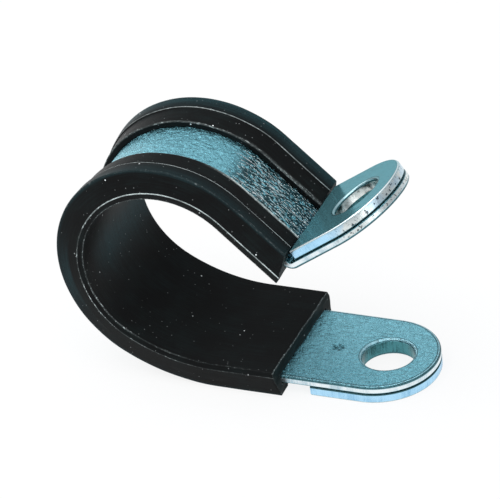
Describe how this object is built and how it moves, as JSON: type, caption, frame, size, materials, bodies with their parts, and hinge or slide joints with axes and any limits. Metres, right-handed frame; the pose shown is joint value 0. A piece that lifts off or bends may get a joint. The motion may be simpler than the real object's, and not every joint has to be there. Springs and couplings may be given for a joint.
{
  "type": "p clip",
  "caption": "Rubber-lined steel P clip, sprung open, that closes round a cable or hose and bolts down through its stacked ears.",
  "frame": {"origin": "axis of the lower bolt hole at the seat, the underside of the plate under the lower ear, which the liner's rails stand level with", "axes": "-Z along the lower hole's axis out of the seat, the way its bolt leaves while the clip is open, +X towards the tips of the ears, +Y along the axis of the ring"},
  "size_m": [0.0458, 0.0186, 0.0313],
  "materials": {
    "zinc_plated_steel": "satin",
    "black_rubber": "matte"
  },
  "bodies": {
    "root": {"strap": "zinc_plated_steel", "liner": "black_rubber", "lower_plate": "zinc_plated_steel", "upper_plate": "zinc_plated_steel"}
  },
  "joints": []
}
